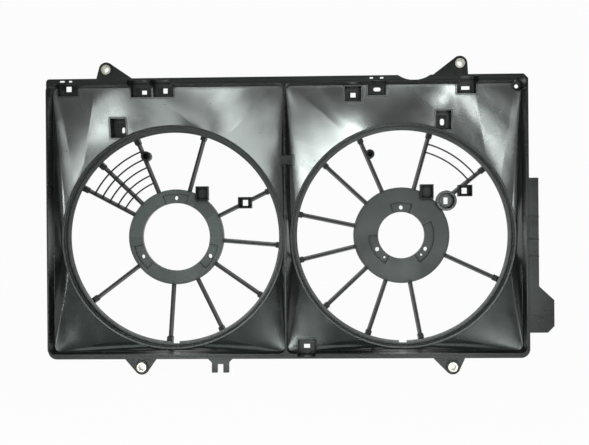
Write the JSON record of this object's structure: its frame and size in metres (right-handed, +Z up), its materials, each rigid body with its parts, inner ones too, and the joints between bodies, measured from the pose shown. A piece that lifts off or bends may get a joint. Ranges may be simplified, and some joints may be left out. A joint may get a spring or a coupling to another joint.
{
  "type": "radiator fan shroud",
  "caption": "Moulded dual-fan radiator shroud with funnel plenums, stepped fan rings, motor hubs on stator arms, clip pockets and ears with metal sleeves",
  "frame": {"origin": "the middle of the divider's front edge, on the plane that faces the radiator core, midway between the frame's top and bottom edges", "axes": "+X to the right as seen from the radiator, +Y away from the radiator towards the engine along the fan axes, +Z up"},
  "size_m": [0.739, 0.092, 0.4624],
  "materials": {
    "black_plastic": "moulded glass-filled nylon, semi-gloss black with flow marks and light scuffs",
    "sleeve_metal": "bright zinc-plated rolled steel, slightly dulled"
  },
  "bodies": {
    "root": {"upper_rail": "black_plastic", "lower_rail": "black_plastic", "left_rail": "black_plastic", "right_rail": "black_plastic", "divider": "black_plastic", "left_upper_funnel": "black_plastic", "left_lower_funnel": "black_plastic", "right_upper_funnel": "black_plastic", "right_lower_funnel": "black_plastic", "left_fan_ring": "black_plastic", "right_fan_ring": "black_plastic", "left_motor_hub": "black_plastic", "right_motor_hub": "black_plastic", "left_hub_rim": "black_plastic", "right_hub_rim": "black_plastic", "left_bore_collar": "black_plastic", "right_bore_collar": "black_plastic", "left_stator_arms": "black_plastic", "right_stator_arms": "black_plastic", "left_finger_guard": "black_plastic", "right_finger_guard": "black_plastic", "left_slot_box": "black_plastic", "right_slot_box": "black_plastic", "centre_clip_box": "black_plastic", "centre_obround_box": "black_plastic", "upper_right_box": "black_plastic", "corner_clip": "black_plastic", "lower_box": "black_plastic", "divider_clip": "black_plastic", "upper_clip_pair": "black_plastic", "corner_boss": "black_plastic", "left_hub_clip": "black_plastic", "left_arm_clip": "black_plastic", "left_arm_peg": "black_plastic", "right_hub_clip": "black_plastic", "right_arm_clip": "black_plastic", "right_arm_peg": "black_plastic", "cable_cup": "black_plastic", "upper_left_ear": "black_plastic", "upper_right_ear": "black_plastic", "lower_left_ear": "black_plastic", "lower_right_ear": "black_plastic", "compression_sleeves": "sleeve_metal", "side_air_guide": "black_plastic", "fork_bracket": "black_plastic"}
  },
  "joints": []
}
